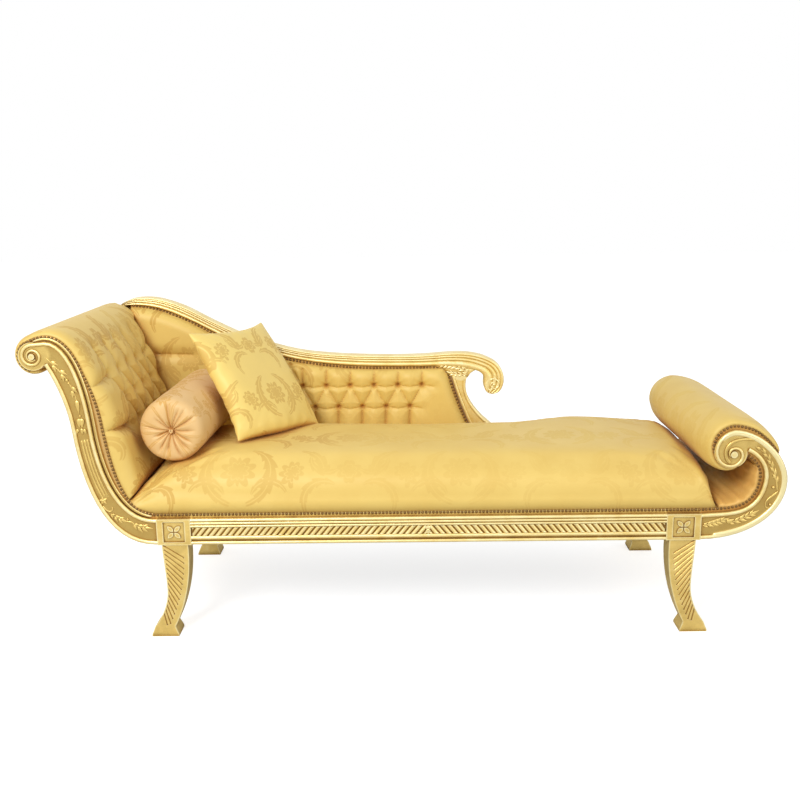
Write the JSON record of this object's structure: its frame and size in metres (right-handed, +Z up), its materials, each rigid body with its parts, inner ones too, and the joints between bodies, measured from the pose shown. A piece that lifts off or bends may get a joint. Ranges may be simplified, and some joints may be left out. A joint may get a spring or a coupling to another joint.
{
  "type": "chaise longue",
  "caption": "Gilded show-wood chaise longue with scrolled head end, rolled foot end, buttoned half back, loose bolster and square cushion.",
  "frame": {"origin": "centre of the plan outline at floor level", "axes": "+X along the length from the head end to the foot end, +Y from the front to the back, +Z up"},
  "size_m": [2.026, 0.65, 0.8629],
  "materials": {
    "gilt_wood": "carved and gilded",
    "damask": "golden satin damask",
    "satin": "peach gold satin",
    "beech": "planed",
    "jute": "woven",
    "lining": "plain cotton",
    "steel": "bright"
  },
  "bodies": {
    "root": {"head_scroll_front": "gilt_wood", "head_scroll_back": "gilt_wood", "foot_scroll_front": "gilt_wood", "foot_scroll_back": "gilt_wood", "block_front_head": "gilt_wood", "block_front_foot": "gilt_wood", "block_back_head": "gilt_wood", "block_back_foot": "gilt_wood", "leg_front_head": "gilt_wood", "leg_front_foot": "gilt_wood", "leg_back_head": "gilt_wood", "leg_back_foot": "gilt_wood", "front_rail": "gilt_wood", "back_rail": "gilt_wood", "head_cross_rail": "beech", "foot_cross_rail": "beech", "seat_brace_1": "beech", "seat_brace_2": "beech", "seat_brace_3": "beech", "corner_brace_front_head": "beech", "corner_brace_front_foot": "beech", "corner_brace_back_head": "beech", "corner_brace_back_foot": "beech", "brace_screws": "steel", "head_roll_core": "beech", "head_waist_rail": "beech", "head_panel": "beech", "foot_roll_core": "beech", "foot_waist_rail": "beech", "foot_panel": "beech", "crest_rail": "gilt_wood", "end_post": "gilt_wood", "leaf_bracket": "gilt_wood", "back_board": "beech", "back_stuffing_rail": "beech", "webbing_across": "jute", "webbing_along": "jute", "hessian": "jute", "dust_cover": "lining", "seat_cushion": "damask", "head_pad": "damask", "head_buttons": "damask", "back_pad": "damask", "back_buttons": "damask", "foot_roll_pad": "damask", "foot_inner_pad": "damask", "head_outer_cover": "damask", "foot_outer_cover": "damask", "back_outer_cover": "damask", "bolster": "satin", "square_cushion": "damask"}
  },
  "joints": []
}
